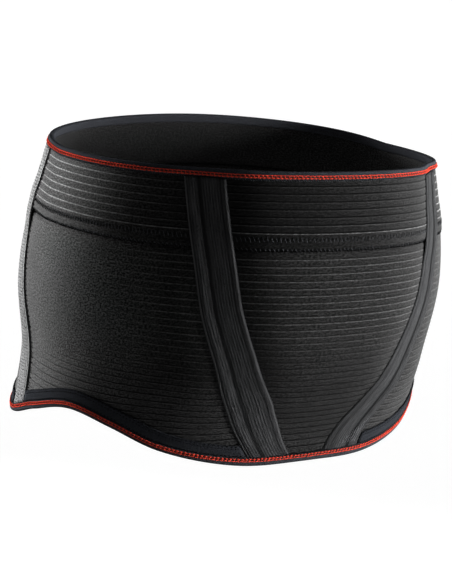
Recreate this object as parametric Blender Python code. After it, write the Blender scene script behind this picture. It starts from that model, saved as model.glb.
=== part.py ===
"""Abdominal belt: a knitted support with elastic straps, in the form it has when worn.

The front of the belt faces -Y, the wearer's right side is -X and +Z is up, in metres. The origin lies
on the trunk's axis, halfway up the front of the belt. An angle runs round the trunk from the front,
positive towards the wearer's left, and a drop runs down from the top edge.
"""
from collections import namedtuple

import bmesh
import bpy
import numpy as np

# Size of the trunk that the belt holds its form on
HALF_WIDTH = 0.193
FRONT_REACH = 0.212
BACK_REACH = 0.146
FORWARD_LEAN = 0.123
FRONT_SQUARENESS = 2.15
BACK_SQUARENESS = 2.5

# Height of the belt and the run of its two edges
FRONT_HEIGHT = 0.263
BACK_RISE = 0.039
SIDE_DIP = 0.006
HIP_RISE = 0.044

# Knitted wall and the overlap of the upper band on the panels
WALL = 0.0022
BAND_DEPTH = 0.067
OVERLAP = 0.013
BAND_STEP = 0.007

# Straps over the belly, and the dent that they press into it
STRAP_WIDTH = 0.0355
STRAP_THICKNESS = 0.0018
STRAP_TOP_ANGLE = 40.4
STRAP_PULL = 0.0055
PULL_REACH = 0.027

# Ribbed bands at the back of the flanks
SIDE_BAND_WIDTH = 0.030
SIDE_BAND_THICKNESS = 0.0020
SIDE_BAND_TOP_ANGLE = 109.0

# Edge bindings and the tape above the hem
BINDING_WIDTH = 0.0072
BINDING_THICKNESS = 0.0012
TAPE_WIDTH = 0.0105
TAPE_THICKNESS = 0.0010

# Clearances: between knitted layers, under the straps and tapes, and between edges that meet
LAYER_GAP = 0.0003
STRIP_GAP = 0.0006
EDGE_GAP = 0.0008

# Columns of facets round each panel, and rows down the knitted walls
FRONT_COLUMNS = 18
SIDE_COLUMNS = 20
BACK_COLUMNS = 26
LOWER_ROWS = 8
STRAP_COLUMNS = 4
LEAST_COLUMN = 0.3
SETTLING_STEPS = 12
SLOPE_STEP = 0.0005

# Half sections of the trunk at heights over the front hem. Heights are shares of FRONT_HEIGHT, widths
# of HALF_WIDTH, fronts of FRONT_REACH and backs of BACK_REACH.
Section = namedtuple("Section", "height width front back")
SECTIONS = (
    Section(-0.12, 1.05, 0.88, 1.09),
    Section(0.05, 1.01, 0.79, 1.05),
    Section(0.31, 0.965, 0.94, 1.00),
    Section(0.58, 1.00, 1.00, 0.975),
    Section(0.84, 0.965, 0.97, 0.89),
    Section(1.10, 0.89, 0.905, 0.77),
    Section(1.25, 0.85, 0.855, 0.70),
)

# Rise of the hem over its lowest point in front, as shares of HIP_RISE, at angles in degrees
Hem = namedtuple("Hem", "angle rise")
HEM = (
    Hem(0, 0.0),
    Hem(20, 0.02),
    Hem(40, 0.33),
    Hem(55, 0.75),
    Hem(70, 1.0),
    Hem(90, 0.76),
    Hem(110, 0.49),
    Hem(130, 0.72),
    Hem(150, 0.97),
    Hem(180, 0.85),
)

# Paths of the front straps and side bands: drops as shares of FRONT_HEIGHT, turns as shares of the
# angle that each has at the top edge, and dents under the straps as shares of STRAP_PULL
StrapPath = namedtuple("StrapPath", "drop turn dent")
STRAP_PATH = (
    StrapPath(0.0, 1.0, 1.0),
    StrapPath(0.25, 0.892, 1.0),
    StrapPath(0.50, 0.779, 1.0),
    StrapPath(0.60, 0.708, 1.0),
    StrapPath(0.70, 0.62, 0.9),
    StrapPath(0.80, 0.488, 0.6),
    StrapPath(0.90, 0.354, 0.25),
    StrapPath(1.0, 0.245, 0.0),
)
BandPath = namedtuple("BandPath", "drop turn")
SIDE_BAND_PATH = (
    BandPath(0.0, 1.0),
    BandPath(0.30, 1.01),
    BandPath(0.50, 0.98),
    BandPath(0.70, 0.955),
    BandPath(1.0, 0.93),
)

# Colour and roughness of each material
KNIT = ("knit", (0.020, 0.021, 0.023), 0.9)
STRAP = ("strap", (0.026, 0.028, 0.030), 0.8)
TAPE = ("tape", (0.026, 0.027, 0.040), 0.7)
BINDING = ("binding", (0.045, 0.048, 0.052), 0.85)


def through(rows, column, x):
    """A smooth curve through one column of a table, read at x against the table's first column."""
    xs = np.array([row[0] for row in rows])
    ys = np.array([getattr(row, column) for row in rows])
    slopes = np.gradient(ys, xs)
    i = np.clip(np.searchsorted(xs, x) - 1, 0, len(xs) - 2)
    span = xs[i + 1] - xs[i]
    t = np.clip((x - xs[i]) / span, 0.0, 1.0)
    start = (2 * t**3 - 3 * t**2 + 1) * ys[i] + (t**3 - 2 * t**2 + t) * span * slopes[i]
    end = (3 * t**2 - 2 * t**3) * ys[i + 1] + (t**3 - t**2) * span * slopes[i + 1]
    return start + end


def top_height(angle):
    """Height of the top edge: highest at the back, and a little lower at the sides."""
    return FRONT_HEIGHT / 2 + BACK_RISE * (1 - np.cos(angle)) / 2 - SIDE_DIP * np.sin(angle) ** 2


def hem_drop(angle):
    """Drop of the hem below the top edge at an angle."""
    round_the_body = np.abs((np.degrees(angle) + 180) % 360 - 180)
    hem_height = HIP_RISE * through(HEM, "rise", round_the_body) - FRONT_HEIGHT / 2
    return top_height(angle) - hem_height


def strap_angle(drop):
    return np.radians(STRAP_TOP_ANGLE) * through(STRAP_PATH, "turn", drop / FRONT_HEIGHT)


def side_band_angle(drop):
    return np.radians(SIDE_BAND_TOP_ANGLE) * through(SIDE_BAND_PATH, "turn", drop / FRONT_HEIGHT)


def trunk(angle, drop):
    """Points on the trunk: superellipses whose half width and reaches change with the height, set
    forward as the trunk leans, with a dent along each front strap."""
    height = top_height(angle) - drop
    share = height / FRONT_HEIGHT + 0.5
    width = HALF_WIDTH * through(SECTIONS, "width", share)
    front = FRONT_REACH * through(SECTIONS, "front", share)
    back = BACK_REACH * through(SECTIONS, "back", share)
    ahead = np.cos(angle)
    aside = np.sin(angle)
    squareness = np.where(ahead > 0, FRONT_SQUARENESS, BACK_SQUARENESS)
    reach = (np.abs(ahead) ** squareness + np.abs(aside) ** squareness) ** (-1 / squareness)
    turned = (angle + np.pi) % (2 * np.pi) - np.pi
    from_strap = (np.abs(turned) - strap_angle(drop)) * HALF_WIDTH
    dent = STRAP_PULL / HALF_WIDTH * through(STRAP_PATH, "dent", drop / FRONT_HEIGHT)
    reach = reach * (1 - dent * np.exp(-((from_strap / PULL_REACH) ** 2)))
    depth = np.where(ahead > 0, front, back)
    x = width * reach * aside
    y = -depth * reach * ahead - FORWARD_LEAN * height
    return np.stack([x, y, height], axis=-1)


def layer(angle, drop, offset):
    """Points at an offset outwards from the trunk, along its normal."""
    step = SLOPE_STEP
    round_it = trunk(angle + step, drop) - trunk(angle - step, drop)
    up = trunk(angle, drop - step) - trunk(angle, drop + step)
    normal = np.cross(round_it, up)
    normal /= np.linalg.norm(normal, axis=-1, keepdims=True)
    return trunk(angle, drop) + normal * np.broadcast_to(offset, angle.shape)[..., None]


# Levels at which pieces start and end: drops from the top edge, and distances up from the hem
WALL_EDGE = BINDING_THICKNESS + EDGE_GAP
PANEL_TOP = BAND_DEPTH - OVERLAP
BELOW_BAND = BAND_DEPTH + EDGE_GAP
PLAIN_TOP = BELOW_BAND + BAND_STEP
STRAP_TOP = BINDING_WIDTH + EDGE_GAP
TAPE_TOP_RISE = BINDING_WIDTH + EDGE_GAP + TAPE_WIDTH
STRAP_END_RISE = BINDING_WIDTH + EDGE_GAP

Row = namedtuple("Row", "drop share rise")


def below_top(drop):
    """A row at one drop from the top edge all round."""
    return Row(drop, 0.0, 0.0)


def above_hem(rise):
    """A row at one distance above the hem all round."""
    return Row(0.0, 1.0, rise)


def between(count):
    """Rows that share out the plain part of the panels, from under the upper band to the tape."""
    shares = np.arange(1, count) / count
    return [Row(PLAIN_TOP, share, TAPE_TOP_RISE) for share in shares]


def band_lift(drop):
    """How far the upper band's inner face stands off the trunk: it climbs on to the panels."""
    return np.interp(drop, (PANEL_TOP - BAND_STEP, PANEL_TOP), (0.0, WALL + LAYER_GAP))


def over_knit(drop):
    """How far the straps and tapes stand off the trunk: on the upper band, then on the panels."""
    drops = (PANEL_TOP - BAND_STEP, PANEL_TOP, BELOW_BAND, PLAIN_TOP)
    raised = WALL + LAYER_GAP
    return WALL + STRIP_GAP + np.interp(drop, drops, (0.0, raised, raised, 0.0))


def settle(angles_at, rows):
    """Angles and drops of a grid, found in turn: columns lean with the drop, rows follow the hem."""
    down = np.array([row.drop for row in rows])[:, None]
    share = np.array([row.share for row in rows])[:, None]
    rise = np.array([row.rise for row in rows])[:, None]
    angle = angles_at(np.full((len(rows), 1), BAND_DEPTH))
    for _ in range(SETTLING_STEPS):
        drop = down + share * (hem_drop(angle) - rise - down)
        angle = angles_at(drop)
    drop = down + share * (hem_drop(angle) - rise - down)
    return angle, drop


def split(points, a, b, c, d):
    """Two triangles of a four-sided facet, parted along its shorter diagonal."""
    if np.linalg.norm(points[a] - points[c]) <= np.linalg.norm(points[b] - points[d]):
        return [(a, b, c), (a, c, d)]
    return [(a, b, d), (b, c, d)]


def solid(name, loops, closed, material):
    """A closed body from a grid: loops of points carried round or along the belt. The loop's points
    run down the outer face and back up the inner one, and an open body is capped at both ends."""
    around, along = loops.shape[:2]
    points = loops.reshape(-1, 3)
    faces = []
    for j in range(along if closed else along - 1):
        beside = (j + 1) % along
        for i in range(around):
            below = (i + 1) % around * along
            faces += split(points, i * along + j, below + j, below + beside, i * along + beside)
    for j in () if closed else (0, along - 1):
        for i in range(around // 2 - 1):
            across = (around - 1 - i) * along
            faces += split(points, i * along + j, (i + 1) * along + j, across - along + j, across + j)
    mesh = bpy.data.meshes.new(name)
    mesh.from_pydata(points.tolist(), [], faces)
    shape = bmesh.new()
    shape.from_mesh(mesh)
    bmesh.ops.recalc_face_normals(shape, faces=shape.faces)
    shape.to_mesh(mesh)
    shape.free()
    mesh.materials.append(material)
    piece = bpy.data.objects.new(name, mesh)
    bpy.context.scene.collection.objects.link(piece)
    return piece


def walled(name, angle, drop, inner, thickness, closed, material):
    """A piece of one thickness over a grid of angles and drops, its inner face at an offset."""
    outside = layer(angle, drop, inner + thickness)
    inside = layer(angle, drop, inner)
    return solid(name, np.concatenate([outside, inside[::-1]]), closed, material)


def edge_angle(border, drop):
    """Angle of the line where two panels meet: under the side bands and the front straps."""
    if border in (1, 2):
        return (-1 if border == 1 else 1) * strap_angle(drop)
    turn = side_band_angle(drop)
    return {0: -turn, 3: turn, 4: 2 * np.pi - turn}[border]


PANELS = (
    ("side_panel_right", SIDE_COLUMNS),
    ("front_panel", FRONT_COLUMNS),
    ("side_panel_left", SIDE_COLUMNS),
    ("back_panel", BACK_COLUMNS),
)


def ring_angles(drop):
    """Columns all round the belt, shared out between the lines where the panels meet."""
    counts = [count for _, count in PANELS]
    panel = np.repeat(np.arange(len(PANELS)), counts)
    share = np.concatenate([np.arange(count) / count for count in counts])
    edges = [edge_angle(border, drop) for border in range(len(PANELS) + 1)]
    start = np.choose(panel, edges[:-1])
    end = np.choose(panel, edges[1:])
    return start + (end - start) * share


def panel_angles(border, count):
    """Columns of one panel, which stops short of its neighbours by half an edge gap."""
    margin = EDGE_GAP / 2 / HALF_WIDTH
    share = np.arange(count + 1) / count

    def angles_at(drop):
        start = edge_angle(border, drop) + margin
        end = edge_angle(border + 1, drop) - margin
        return start + (end - start) * share
    return angles_at


def half_turn(centre_at, drop, width):
    """Half the angle that a strip takes up across, where its centre line has the angle given."""
    angle = centre_at(drop)
    step = SLOPE_STEP
    radius = np.linalg.norm(trunk(angle + step, drop) - trunk(angle - step, drop), axis=-1) / (2 * step)
    lean = (centre_at(drop + step) - centre_at(drop - step)) / (2 * step)
    return width / 2 / radius * np.sqrt(1 + (radius * lean) ** 2)


def strip_angles(centre_at, width, columns, side):
    """Columns across a strip that runs down the belt, on the wearer's right (-1) or left (1)."""
    across = np.linspace(-1, 1, columns + 1)

    def angles_at(drop):
        return side * centre_at(drop) + across * half_turn(centre_at, drop, width)
    return angles_at


def tape_angles(border, start_at, end_at):
    """Columns of a tape: its two ends, and the columns of the panel under it that lie between."""
    count = PANELS[border][1]
    level = np.array([FRONT_HEIGHT])
    first = edge_angle(border, level)
    pitch = (edge_angle(border + 1, level) - first) / count
    start_column = (start_at(level) - first) / pitch
    end_column = (end_at(level) - first) / pitch
    column = np.arange(count + 1)
    inner = column[(column > start_column + LEAST_COLUMN) & (column < end_column - LEAST_COLUMN)]
    share = np.concatenate([[0], inner, [count]]) / count
    place = np.arange(len(share))

    def angles_at(drop):
        first = edge_angle(border, drop)
        inside = first + (edge_angle(border + 1, drop) - first) * share
        inside = np.where(place == 0, start_at(drop), inside)
        return np.where(place == len(share) - 1, end_at(drop), inside)
    return angles_at


def knit_rows():
    """Rows down the panels, from under the upper band to the fold of the hem binding."""
    upper = [below_top(PANEL_TOP + EDGE_GAP), below_top(BELOW_BAND), below_top(PLAIN_TOP)]
    lower = [above_hem(TAPE_TOP_RISE), above_hem(BINDING_WIDTH), above_hem(WALL_EDGE)]
    return upper + between(LOWER_ROWS) + lower


def strip_rows():
    """Rows down the straps and side bands, from the top binding to the hem binding."""
    upper = [STRAP_TOP, (STRAP_TOP + PANEL_TOP - BAND_STEP) / 2, PANEL_TOP - BAND_STEP, PANEL_TOP]
    upper += [BELOW_BAND, PLAIN_TOP]
    lower = [above_hem(TAPE_TOP_RISE), above_hem(STRAP_END_RISE)]
    return [below_top(drop) for drop in upper] + between(LOWER_ROWS) + lower


def make_upper_band(material):
    middle = (BINDING_WIDTH + PANEL_TOP - BAND_STEP) / 2
    drops = (WALL_EDGE, BINDING_WIDTH, middle, PANEL_TOP - BAND_STEP, PANEL_TOP, BAND_DEPTH)
    angle, drop = settle(ring_angles, [below_top(drop) for drop in drops])
    walled("upper_band", angle, drop, band_lift(drop), WALL, True, material)


def make_panels(material):
    for border, (name, count) in enumerate(PANELS):
        angle, drop = settle(panel_angles(border, count), knit_rows())
        walled(name, angle, drop, np.zeros_like(drop), WALL, False, material)


def make_binding(name, row_at, material):
    """A strip folded over an edge: down outside, over the edge and down inside, then back again."""
    outside = WALL + LAYER_GAP
    profile = (
        (BINDING_WIDTH, outside + BINDING_THICKNESS),
        (BINDING_THICKNESS, outside + BINDING_THICKNESS),
        (0.0, WALL / 2),
        (BINDING_THICKNESS, -LAYER_GAP - BINDING_THICKNESS),
        (BINDING_WIDTH, -LAYER_GAP - BINDING_THICKNESS),
        (BINDING_WIDTH, -LAYER_GAP),
        (BINDING_THICKNESS, -LAYER_GAP),
        (BINDING_THICKNESS, outside),
        (BINDING_WIDTH, outside),
    )
    angle, drop = settle(ring_angles, [row_at(inwards) for inwards, _ in profile])
    offsets = np.array([offset for _, offset in profile])[:, None]
    solid(name, layer(angle, drop, offsets), True, material)


def make_strips(name, centre_at, width, thickness, material):
    """A strap or side band on each side of the wearer."""
    for side, suffix in ((-1, "right"), (1, "left")):
        angles_at = strip_angles(centre_at, width, STRAP_COLUMNS, side)
        angle, drop = settle(angles_at, strip_rows())
        walled(f"{name}_{suffix}", angle, drop, over_knit(drop), thickness, False, material)


def make_hem_tapes(material):
    """Tape above the hem, from each front strap back to the side band, and across the back."""
    strap_span = STRAP_WIDTH + 2 * EDGE_GAP
    band_span = SIDE_BAND_WIDTH + 2 * EDGE_GAP

    def behind_strap(drop):
        return strap_angle(drop) + half_turn(strap_angle, drop, strap_span)

    def before_band(drop):
        return side_band_angle(drop) - half_turn(side_band_angle, drop, band_span)

    def behind_band(drop):
        return side_band_angle(drop) + half_turn(side_band_angle, drop, band_span)

    tapes = (
        ("hem_tape_right", 0, lambda drop: -before_band(drop), lambda drop: -behind_strap(drop)),
        ("hem_tape_left", 2, behind_strap, before_band),
        ("hem_tape_back", 3, behind_band, lambda drop: 2 * np.pi - behind_band(drop)),
    )
    rows = [above_hem(TAPE_TOP_RISE), above_hem(STRAP_END_RISE)]
    for name, border, start_at, end_at in tapes:
        angle, drop = settle(tape_angles(border, start_at, end_at), rows)
        walled(name, angle, drop, over_knit(drop), TAPE_THICKNESS, False, material)


def make_material(look):
    name, colour, roughness = look
    material = bpy.data.materials.new(name)
    material.use_nodes = True
    shader = material.node_tree.nodes["Principled BSDF"]
    shader.inputs["Base Color"].default_value = (*colour, 1.0)
    shader.inputs["Roughness"].default_value = roughness
    shader.inputs["Metallic"].default_value = 0.0
    material.diffuse_color = (*colour, 1.0)
    return material


def main():
    for old in list(bpy.data.objects):
        bpy.data.objects.remove(old, do_unlink=True)
    knit = make_material(KNIT)
    strap = make_material(STRAP)
    tape = make_material(TAPE)
    binding = make_material(BINDING)
    make_upper_band(knit)
    make_panels(knit)
    make_strips("front_strap", strap_angle, STRAP_WIDTH, STRAP_THICKNESS, strap)
    make_strips("side_band", side_band_angle, SIDE_BAND_WIDTH, SIDE_BAND_THICKNESS, strap)
    make_hem_tapes(tape)
    make_binding("top_binding", below_top, binding)
    make_binding("bottom_binding", above_hem, binding)


main()
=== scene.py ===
"""Looks of the abdominal belt: knitted walls, elastic straps, tape, bindings and their stitches.

A place on the belt is an angle round the trunk from the front, positive towards the wearer's left,
and a drop below the top edge. Every piece is an array of such places, set off outwards from the trunk.
Lengths are in metres, and the belt's front faces -Y.
"""
from collections import namedtuple

import bpy
import numpy as np
from mathutils import Matrix, Vector


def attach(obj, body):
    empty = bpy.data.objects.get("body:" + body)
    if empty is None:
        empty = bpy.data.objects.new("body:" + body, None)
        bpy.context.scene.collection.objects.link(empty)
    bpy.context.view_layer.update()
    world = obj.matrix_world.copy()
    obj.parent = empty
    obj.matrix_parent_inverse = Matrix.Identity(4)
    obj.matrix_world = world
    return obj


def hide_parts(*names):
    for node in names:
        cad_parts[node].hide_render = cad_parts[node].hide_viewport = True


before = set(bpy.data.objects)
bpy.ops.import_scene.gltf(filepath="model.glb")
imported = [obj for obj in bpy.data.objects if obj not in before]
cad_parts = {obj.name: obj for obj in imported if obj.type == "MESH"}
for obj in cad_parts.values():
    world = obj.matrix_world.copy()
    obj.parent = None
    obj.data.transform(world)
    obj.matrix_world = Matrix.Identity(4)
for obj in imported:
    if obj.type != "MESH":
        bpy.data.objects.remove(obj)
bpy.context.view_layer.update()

# Size of the trunk that the belt holds its form on
HALF_WIDTH = 0.193
FRONT_REACH = 0.212
BACK_REACH = 0.146
FORWARD_LEAN = 0.123
FRONT_SQUARENESS = 2.15
BACK_SQUARENESS = 2.5

# Height of the belt and the run of its two edges
FRONT_HEIGHT = 0.263
BACK_RISE = 0.039
SIDE_DIP = 0.006
HIP_RISE = 0.044

# Knitted wall and the overlap of the upper band on the panels
WALL = 0.0022
BAND_DEPTH = 0.067
OVERLAP = 0.013

# Straps over the belly, and the dent that they press into it
STRAP_WIDTH = 0.0355
STRAP_THICKNESS = 0.0018
STRAP_TOP_ANGLE = 40.4
STRAP_PULL = 0.0055
PULL_REACH = 0.027

# Ribbed bands at the back of the flanks, thinner in the looks than as solids
SIDE_BAND_WIDTH = 0.030
SIDE_BAND_THICKNESS = 0.0011
SIDE_BAND_TOP_ANGLE = 109.0

# Edge bindings and the tape above the hem
BINDING_WIDTH = 0.0072
BINDING_THICKNESS = 0.0012
TAPE_WIDTH = 0.0105
TAPE_THICKNESS = 0.0010

# Clearances: between knitted layers, under the straps and tapes, and between edges that meet
LAYER_GAP = 0.0003
STRIP_GAP = 0.0006
EDGE_GAP = 0.0008

# Widths that the straps and side bands take up, with the clearance on both sides
STRAP_SPAN = STRAP_WIDTH + 2 * EDGE_GAP
BAND_SPAN = SIDE_BAND_WIDTH + 2 * EDGE_GAP

# Half sections of the trunk at heights over the front hem. Heights are shares of FRONT_HEIGHT, widths
# of HALF_WIDTH, fronts of FRONT_REACH and backs of BACK_REACH.
Section = namedtuple("Section", "height width front back")
SECTIONS = (
    Section(-0.12, 1.05, 0.88, 1.09),
    Section(0.05, 1.01, 0.79, 1.05),
    Section(0.31, 0.965, 0.94, 1.00),
    Section(0.58, 1.00, 1.00, 0.975),
    Section(0.84, 0.965, 0.97, 0.89),
    Section(1.10, 0.89, 0.905, 0.77),
    Section(1.25, 0.85, 0.855, 0.70),
)

# Rise of the hem over its lowest point in front, as shares of HIP_RISE, at angles in degrees
Hem = namedtuple("Hem", "angle rise")
HEM = (
    Hem(0, 0.0),
    Hem(20, 0.02),
    Hem(40, 0.33),
    Hem(55, 0.75),
    Hem(70, 1.0),
    Hem(90, 0.76),
    Hem(110, 0.49),
    Hem(130, 0.72),
    Hem(150, 0.97),
    Hem(180, 0.85),
)

# Paths of the front straps and side bands: drops as shares of FRONT_HEIGHT, turns as shares of the
# angle that each has at the top edge, and dents under the straps as shares of STRAP_PULL
StrapPath = namedtuple("StrapPath", "drop turn dent")
STRAP_PATH = (
    StrapPath(0.0, 1.0, 1.0),
    StrapPath(0.25, 0.892, 1.0),
    StrapPath(0.50, 0.779, 1.0),
    StrapPath(0.60, 0.708, 1.0),
    StrapPath(0.70, 0.62, 0.9),
    StrapPath(0.80, 0.488, 0.6),
    StrapPath(0.90, 0.354, 0.25),
    StrapPath(1.0, 0.245, 0.0),
)
BandPath = namedtuple("BandPath", "drop turn")
SIDE_BAND_PATH = (
    BandPath(0.0, 1.0),
    BandPath(0.30, 1.01),
    BandPath(0.50, 0.98),
    BandPath(0.70, 0.955),
    BandPath(1.0, 0.93),
)

# Ribs down the cloth: depth of the first of each run below the top edge, their pitch and number
Ribs = namedtuple("Ribs", "first pitch count")
BAND_RIBS = (Ribs(0.0125, 0.00645, 7),)
PANEL_RIBS = (
    Ribs(0.0732, 0.00614, 22),
    Ribs(0.2090, 0.0069, 10),
)

# One rib from above its groove to below its thread: distances down and heights, in metres, with the share of
# painted shade in the groove and of painted highlight on the thread
RibPoint = namedtuple("RibPoint", "down height groove thread")
RIB = (
    RibPoint(-0.0013, 0.00004, 0.0, 0.0),
    RibPoint(-0.0008, 0.0, 0.2, 0.0),
    RibPoint(-0.0005, -0.00042, 1.0, 0.0),
    RibPoint(0.0001, -0.00048, 1.0, 0.0),
    RibPoint(0.0004, -0.00010, 0.7, 0.4),
    RibPoint(0.0008, 0.00018, 0.0, 1.0),
    RibPoint(0.0012, 0.00010, 0.0, 0.3),
    RibPoint(0.0017, 0.0, 0.0, 0.0),
)
PILLOW_HEIGHT = 0.00012

# Depths between which the ribs reach farther from the strap, and those where the painted highlight on the
# rib threads fades
RIBS_REACH_FARTHER = (0.150, 0.205)
THREAD_GLINT_FADE = (0.128, 0.168)

# Panels pressed flat under the upper band, the band's climb on to them and its thinner lower edge,
# and the slope of the strips below it
PRESSED_WALL = 0.0010
BAND_RISE = PRESSED_WALL + LAYER_GAP
BAND_CLIMB = 0.022
BAND_EDGE_THIN = 0.6
BAND_EDGE_SLOPE = 0.0047
BAND_EDGE_ROWS = (0.0620, 0.0640)
BRIDGE = 0.022

# Edges of the straps and side bands: how far they stand off the knit, and the share that they lose
EDGE_STAND = 0.00025
EDGE_THIN = 0.72

# Steps of the tables, slopes and grids, and rows and columns of the strips
COLUMN_STEP = 0.004
TABLE_STEP = 0.001
SLOPE_STEP = 0.0005
SETTLING_STEPS = 12
STRIP_ROWS = 90
STRAP_COLUMNS = 100
SIDE_BAND_COLUMNS = 70
TAPE_LEVELS = 10
BINDING_COLUMNS = 300


def through(rows, column, x):
    """A smooth curve through one column of a table, read at x against the table's first column."""
    xs = np.array([row[0] for row in rows])
    ys = np.array([getattr(row, column) for row in rows])
    slopes = np.gradient(ys, xs)
    i = np.clip(np.searchsorted(xs, x) - 1, 0, len(xs) - 2)
    span = xs[i + 1] - xs[i]
    t = np.clip((x - xs[i]) / span, 0.0, 1.0)
    start = (2 * t**3 - 3 * t**2 + 1) * ys[i] + (t**3 - 2 * t**2 + t) * span * slopes[i]
    end = (3 * t**2 - 2 * t**3) * ys[i + 1] + (t**3 - t**2) * span * slopes[i + 1]
    return start + end


def top_height(angle):
    """Height of the top edge: highest at the back, and a little lower at the sides."""
    return FRONT_HEIGHT / 2 + BACK_RISE * (1 - np.cos(angle)) / 2 - SIDE_DIP * np.sin(angle) ** 2


def hem_drop(angle):
    """Drop of the hem below the top edge: the table of the hem's rise, from the top edge's height."""
    round_the_body = np.abs((np.degrees(angle) + 180) % 360 - 180)
    hem_height = HIP_RISE * through(HEM, "rise", round_the_body) - FRONT_HEIGHT / 2
    return top_height(angle) - hem_height


def from_front(angle):
    """An angle brought to within half a turn of the front."""
    return (angle + np.pi) % (2 * np.pi) - np.pi


def strap_angle(drop):
    return np.radians(STRAP_TOP_ANGLE) * through(STRAP_PATH, "turn", drop / FRONT_HEIGHT)


def side_band_angle(drop):
    return np.radians(SIDE_BAND_TOP_ANGLE) * through(SIDE_BAND_PATH, "turn", drop / FRONT_HEIGHT)


def trunk(angle, drop):
    """Points on the trunk: superellipses whose half width and reaches change with the height, set
    forward as the trunk leans, with a dent along each front strap."""
    height = top_height(angle) - drop
    share = height / FRONT_HEIGHT + 0.5
    width = HALF_WIDTH * through(SECTIONS, "width", share)
    front = FRONT_REACH * through(SECTIONS, "front", share)
    back = BACK_REACH * through(SECTIONS, "back", share)
    ahead = np.cos(angle)
    aside = np.sin(angle)
    squareness = np.where(ahead > 0, FRONT_SQUARENESS, BACK_SQUARENESS)
    reach = (np.abs(ahead) ** squareness + np.abs(aside) ** squareness) ** (-1 / squareness)
    from_strap = (np.abs(from_front(angle)) - strap_angle(drop)) * HALF_WIDTH
    dent = STRAP_PULL / HALF_WIDTH * through(STRAP_PATH, "dent", drop / FRONT_HEIGHT)
    reach = reach * (1 - dent * np.exp(-((from_strap / PULL_REACH) ** 2)))
    depth = np.where(ahead > 0, front, back)
    x = width * reach * aside
    y = -depth * reach * ahead - FORWARD_LEAN * height
    return np.stack([x, y, height], axis=-1)


def outwards(angle, drop):
    """The trunk's normal: across its slope round the body and its slope up the body."""
    step = SLOPE_STEP
    round_it = trunk(angle + step, drop) - trunk(angle - step, drop)
    up = trunk(angle, drop - step) - trunk(angle, drop + step)
    normal = np.cross(round_it, up)
    return normal / np.linalg.norm(normal, axis=-1, keepdims=True)


def layer(angle, drop, offset):
    """Points at an offset outwards from the trunk, along its normal."""
    return trunk(angle, drop) + outwards(angle, drop) * np.broadcast_to(offset, angle.shape)[..., None]


# Distances down the cloth and round it, each tabled once over angles and drops
TABLE_ANGLES = np.radians(np.arange(-181.0, 362.0))
TABLE_DROPS = np.arange(0.0, 0.330, TABLE_STEP)


def running_sum(steps, axis):
    """Lengths of steps added up along an axis, starting from nothing."""
    lengths = np.linalg.norm(steps, axis=-1)
    start = np.zeros_like(np.take(lengths, [0], axis=axis))
    return np.concatenate([start, np.cumsum(lengths, axis=axis)], axis=axis)


table_points = trunk(*np.meshgrid(TABLE_ANGLES, TABLE_DROPS))
CLOTH_DEPTHS = running_sum(np.diff(table_points, axis=0), 0)
GIRTHS = running_sum(np.diff(trunk(TABLE_ANGLES, np.full_like(TABLE_ANGLES, BAND_DEPTH)), axis=0), 0)


def cloth_depth(angle, drop):
    """Distance down the cloth from the top edge: the table's four nearest entries, weighed."""
    column = (angle - TABLE_ANGLES[0]) / (TABLE_ANGLES[1] - TABLE_ANGLES[0])
    row = np.clip(drop / TABLE_STEP, 0, len(TABLE_DROPS) - 1.001)
    j = np.clip(column.astype(int), 0, len(TABLE_ANGLES) - 2)
    i = row.astype(int)
    upper = CLOTH_DEPTHS[i, j] * (j + 1 - column) + CLOTH_DEPTHS[i, j + 1] * (column - j)
    lower = CLOTH_DEPTHS[i + 1, j] * (j + 1 - column) + CLOTH_DEPTHS[i + 1, j + 1] * (column - j)
    return upper * (i + 1 - row) + lower * (row - i)


def drop_at(angle, depth):
    """Drop at a distance down the cloth: the drop is moved by what the distance still lacks."""
    drop = depth + 0 * angle
    for _ in range(SETTLING_STEPS):
        drop = drop + depth - cloth_depth(angle, drop)
    return drop


def girth(angle):
    """Distance round the cloth at the lower edge of the upper band."""
    return np.interp(angle, TABLE_ANGLES, GIRTHS)


# Levels at which pieces start and end: drops from the top edge, and distances up from the hem
WALL_EDGE = BINDING_THICKNESS + EDGE_GAP
PANEL_TOP = BAND_DEPTH - OVERLAP
BELOW_BAND = BAND_DEPTH + EDGE_GAP
STRAP_TOP = BINDING_WIDTH + EDGE_GAP
TAPE_TOP_RISE = BINDING_WIDTH + EDGE_GAP + TAPE_WIDTH
STRAP_END_RISE = BINDING_WIDTH + EDGE_GAP


def band_lift(drop):
    """How far the upper band's inner face stands off the trunk: it climbs on to the panels, which are
    pressed flat there, by a cosine slope."""
    climb = np.clip((PANEL_TOP - drop) / BAND_CLIMB, 0.0, 1.0)
    return BAND_RISE * (0.5 + 0.5 * np.cos(np.pi * climb))


def band_thickness(drop):
    """Thickness of the upper band, pressed thinner towards its lower edge."""
    return WALL * (1 - BAND_EDGE_THIN * np.clip((drop - BAND_DEPTH) / BAND_EDGE_SLOPE + 1, 0.0, 1.0))


def over_knit(drop):
    """How far the straps and tapes stand off the trunk: they bridge the doubled knit at the lower edge
    of the upper band by a cosine slope on each side of it."""
    climb = np.clip((PANEL_TOP - drop) / BAND_CLIMB, 0.0, 1.0)
    fall = np.clip((drop - BAND_DEPTH) / BRIDGE, 0.0, 1.0)
    slope = 0.5 + 0.5 * np.cos(np.pi * np.maximum(climb, fall))
    return WALL + STRIP_GAP + BAND_RISE * slope


def settle(angles_at, drops_at, rows):
    """Angles and drops of a grid, found in turn: columns lean with the drop, rows with the angle."""
    angle = angles_at(np.full((rows, 1), BAND_DEPTH))
    for _ in range(SETTLING_STEPS):
        drop = drops_at(angle)
        angle = angles_at(drop)
    return angle, drops_at(angle)


def edge_angle(border, drop):
    """Angle of the line where two panels meet: under the side bands and the front straps."""
    if border in (1, 2):
        return (-1 if border == 1 else 1) * strap_angle(drop)
    turn = side_band_angle(drop)
    return {0: -turn, 3: turn, 4: 2 * np.pi - turn}[border]


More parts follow.
